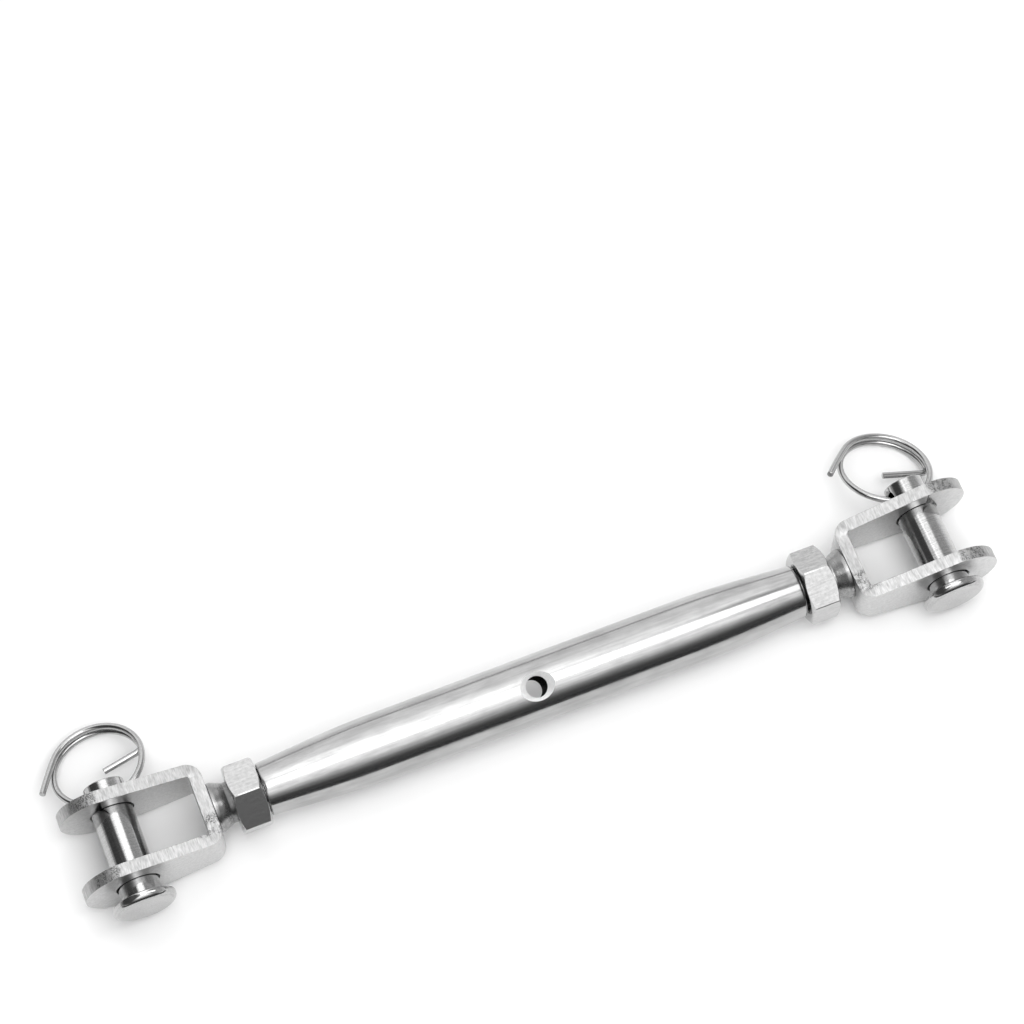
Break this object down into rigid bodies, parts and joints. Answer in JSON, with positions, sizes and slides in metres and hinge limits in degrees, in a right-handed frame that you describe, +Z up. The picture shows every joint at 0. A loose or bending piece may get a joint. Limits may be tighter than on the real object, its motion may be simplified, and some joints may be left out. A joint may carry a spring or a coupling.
{
  "type": "rigging turnbuckle",
  "caption": "Closed-tube rigging turnbuckle with a strap fork jaw, clevis pin and split cotter ring at each end, drawn together or let out by turning the tube.",
  "frame": {"origin": "centre of the object's box at its lowest level, the level of the jaws' lower edges", "axes": "+X along the tube towards the jaw with the left-hand thread, +Y along the clevis pins from head to cotter ring, +Z up"},
  "size_m": [0.1884, 0.0413, 0.0162],
  "materials": {
    "polished_tube": "polished stainless tube, drawn along its length",
    "strap_steel": "satin stainless plate with sheared edges",
    "turned_steel": "turned stainless bar",
    "nut_steel": "bright stainless hexagon bar",
    "pin_steel": "polished stainless pin",
    "spring_wire": "drawn stainless spring wire"
  },
  "bodies": {
    "left_fork": {"left_jaw_strap": "strap_steel", "left_stud": "turned_steel"},
    "left_nut": {"left_lock_nut": "nut_steel"},
    "barrel": {"barrel": "polished_tube"},
    "right_fork": {"right_jaw_strap": "strap_steel", "right_stud": "turned_steel"},
    "right_nut": {"right_lock_nut": "nut_steel"},
    "left_pin": {"left_clevis_pin": "pin_steel"},
    "right_pin": {"right_clevis_pin": "pin_steel"},
    "left_ring": {"left_cotter_ring": "spring_wire"},
    "right_ring": {"right_cotter_ring": "spring_wire"}
  },
  "joints": [
    {"name": "left_nut_travel", "type": "slide", "parent": "left_fork", "child": "left_nut", "axis": [1, 0, 0], "range_m": [0, 0.0375]},
    {"name": "barrel_turn", "type": "hinge", "parent": "left_nut", "child": "barrel", "pos_m": [0.00076, -0.00677, 0.0081], "axis": [1, 0, 0], "range_deg": [0, 10800]},
    {"name": "right_fork_travel", "type": "slide", "parent": "left_fork", "child": "right_fork", "axis": [1, 0, 0], "range_m": [0, 0.075]},
    {"name": "right_nut_travel", "type": "slide", "parent": "right_fork", "child": "right_nut", "axis": [-1, 0, 0], "range_m": [0, 0.0375]},
    {"name": "left_pin_float", "type": "slide", "parent": "left_fork", "child": "left_pin", "axis": [0, 1, 0], "range_m": [0, 0.003]},
    {"name": "right_pin_float", "type": "slide", "parent": "right_fork", "child": "right_pin", "axis": [0, 1, 0], "range_m": [-0.001, 0.002]},
    {"name": "left_ring_swing", "type": "hinge", "parent": "left_pin", "child": "left_ring", "pos_m": [-0.08234, 0.00268, 0.0081], "axis": [0.9945, 0, 0.1045], "range_deg": [-43, 100]},
    {"name": "right_ring_swing", "type": "hinge", "parent": "right_pin", "child": "right_ring", "pos_m": [0.08386, 0.00368, 0.0081], "axis": [0.9613, 0, -0.2756], "range_deg": [-52, 90]}
  ],
  "couplings": [
    {"joint": "barrel_turn", "follows": "right_fork_travel", "rad_per_m": 2513.3},
    {"joint": "left_nut_travel", "follows": "right_fork_travel", "ratio": 0.5},
    {"joint": "right_nut_travel", "follows": "right_fork_travel", "ratio": 0.5}
  ]
}
